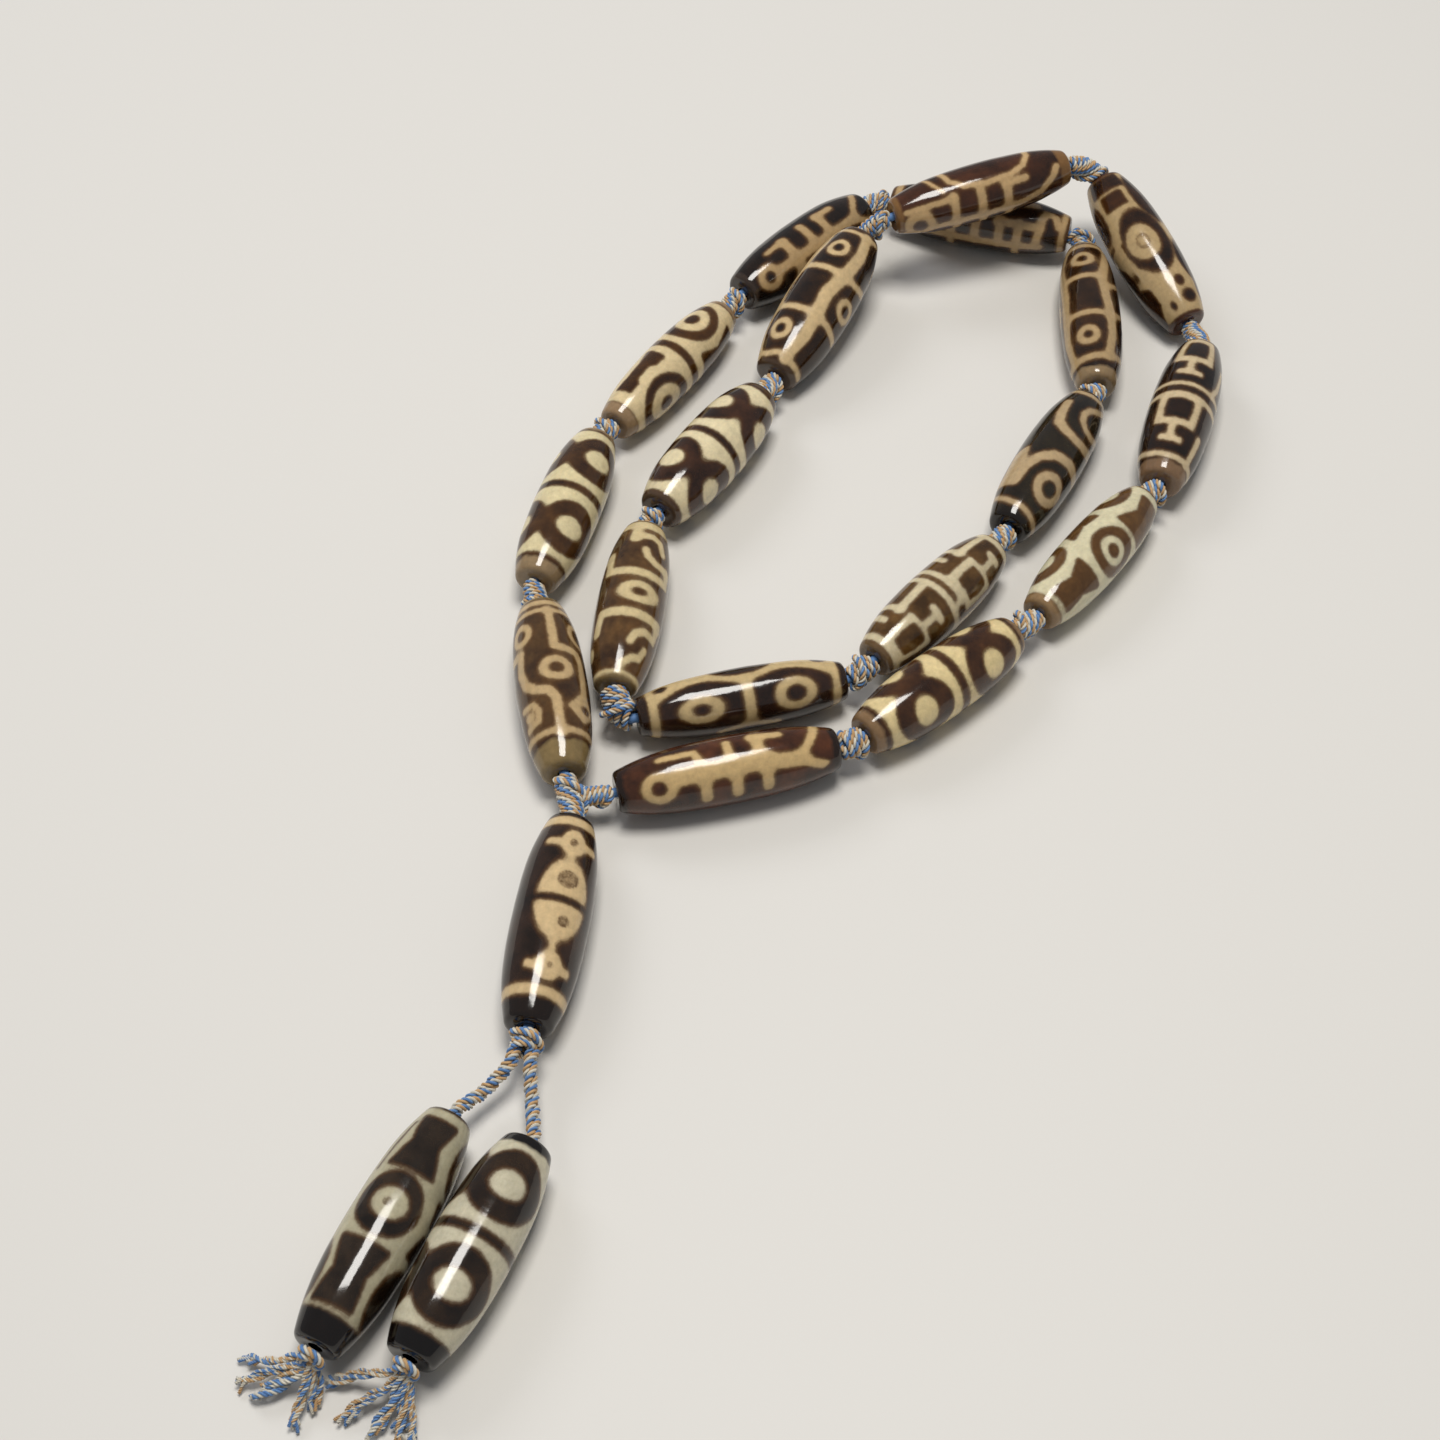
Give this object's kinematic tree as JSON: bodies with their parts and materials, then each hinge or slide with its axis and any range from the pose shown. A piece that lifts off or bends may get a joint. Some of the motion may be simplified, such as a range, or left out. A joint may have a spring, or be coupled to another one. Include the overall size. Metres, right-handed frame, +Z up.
{
  "type": "dzi bead necklace",
  "caption": "Long necklace of large barrel-shaped etched agate beads on a knotted cord, wound double, with a pendant bead and two tasselled drops.",
  "frame": {"origin": "middle of the necklace's footprint on the surface that it lies on", "axes": "+Z up from the surface, +Y along the necklace from the tassels to the far end of the loop, +X to the right"},
  "size_m": [0.1714, 0.2798, 0.0247],
  "materials": {
    "loop_beads": "polished",
    "pendant_bead": "polished",
    "drop_beads": "polished",
    "knots": "twisted cord",
    "cords": "twisted cord",
    "tassels": "loose twisted strands"
  },
  "bodies": {
    "root": {"bead_01": "loop_beads", "bead_02": "loop_beads", "bead_03": "loop_beads", "bead_04": "loop_beads", "bead_05": "loop_beads", "bead_06": "loop_beads", "bead_07": "loop_beads", "bead_08": "loop_beads", "bead_09": "loop_beads", "bead_10": "loop_beads", "bead_11": "loop_beads", "bead_12": "loop_beads", "bead_13": "loop_beads", "bead_14": "loop_beads", "bead_15": "loop_beads", "bead_16": "loop_beads", "bead_17": "loop_beads", "bead_18": "loop_beads", "pendant_bead": "pendant_bead", "drop_bead_left": "drop_beads", "drop_bead_right": "drop_beads", "knot_01": "knots", "knot_02": "knots", "knot_03": "knots", "knot_04": "knots", "knot_05": "knots", "knot_06": "knots", "knot_07": "knots", "knot_08": "knots", "knot_09": "knots", "knot_10": "knots", "knot_11": "knots", "knot_12": "knots", "knot_13": "knots", "knot_14": "knots", "knot_15": "knots", "knot_16": "knots", "knot_17": "knots", "junction_knot": "knots", "pendant_knot": "knots", "loop_thread": "cords", "pendant_thread": "cords", "drop_cord_left": "cords", "drop_cord_right": "cords", "tassel_left": "tassels", "tassel_right": "tassels"}
  },
  "joints": []
}
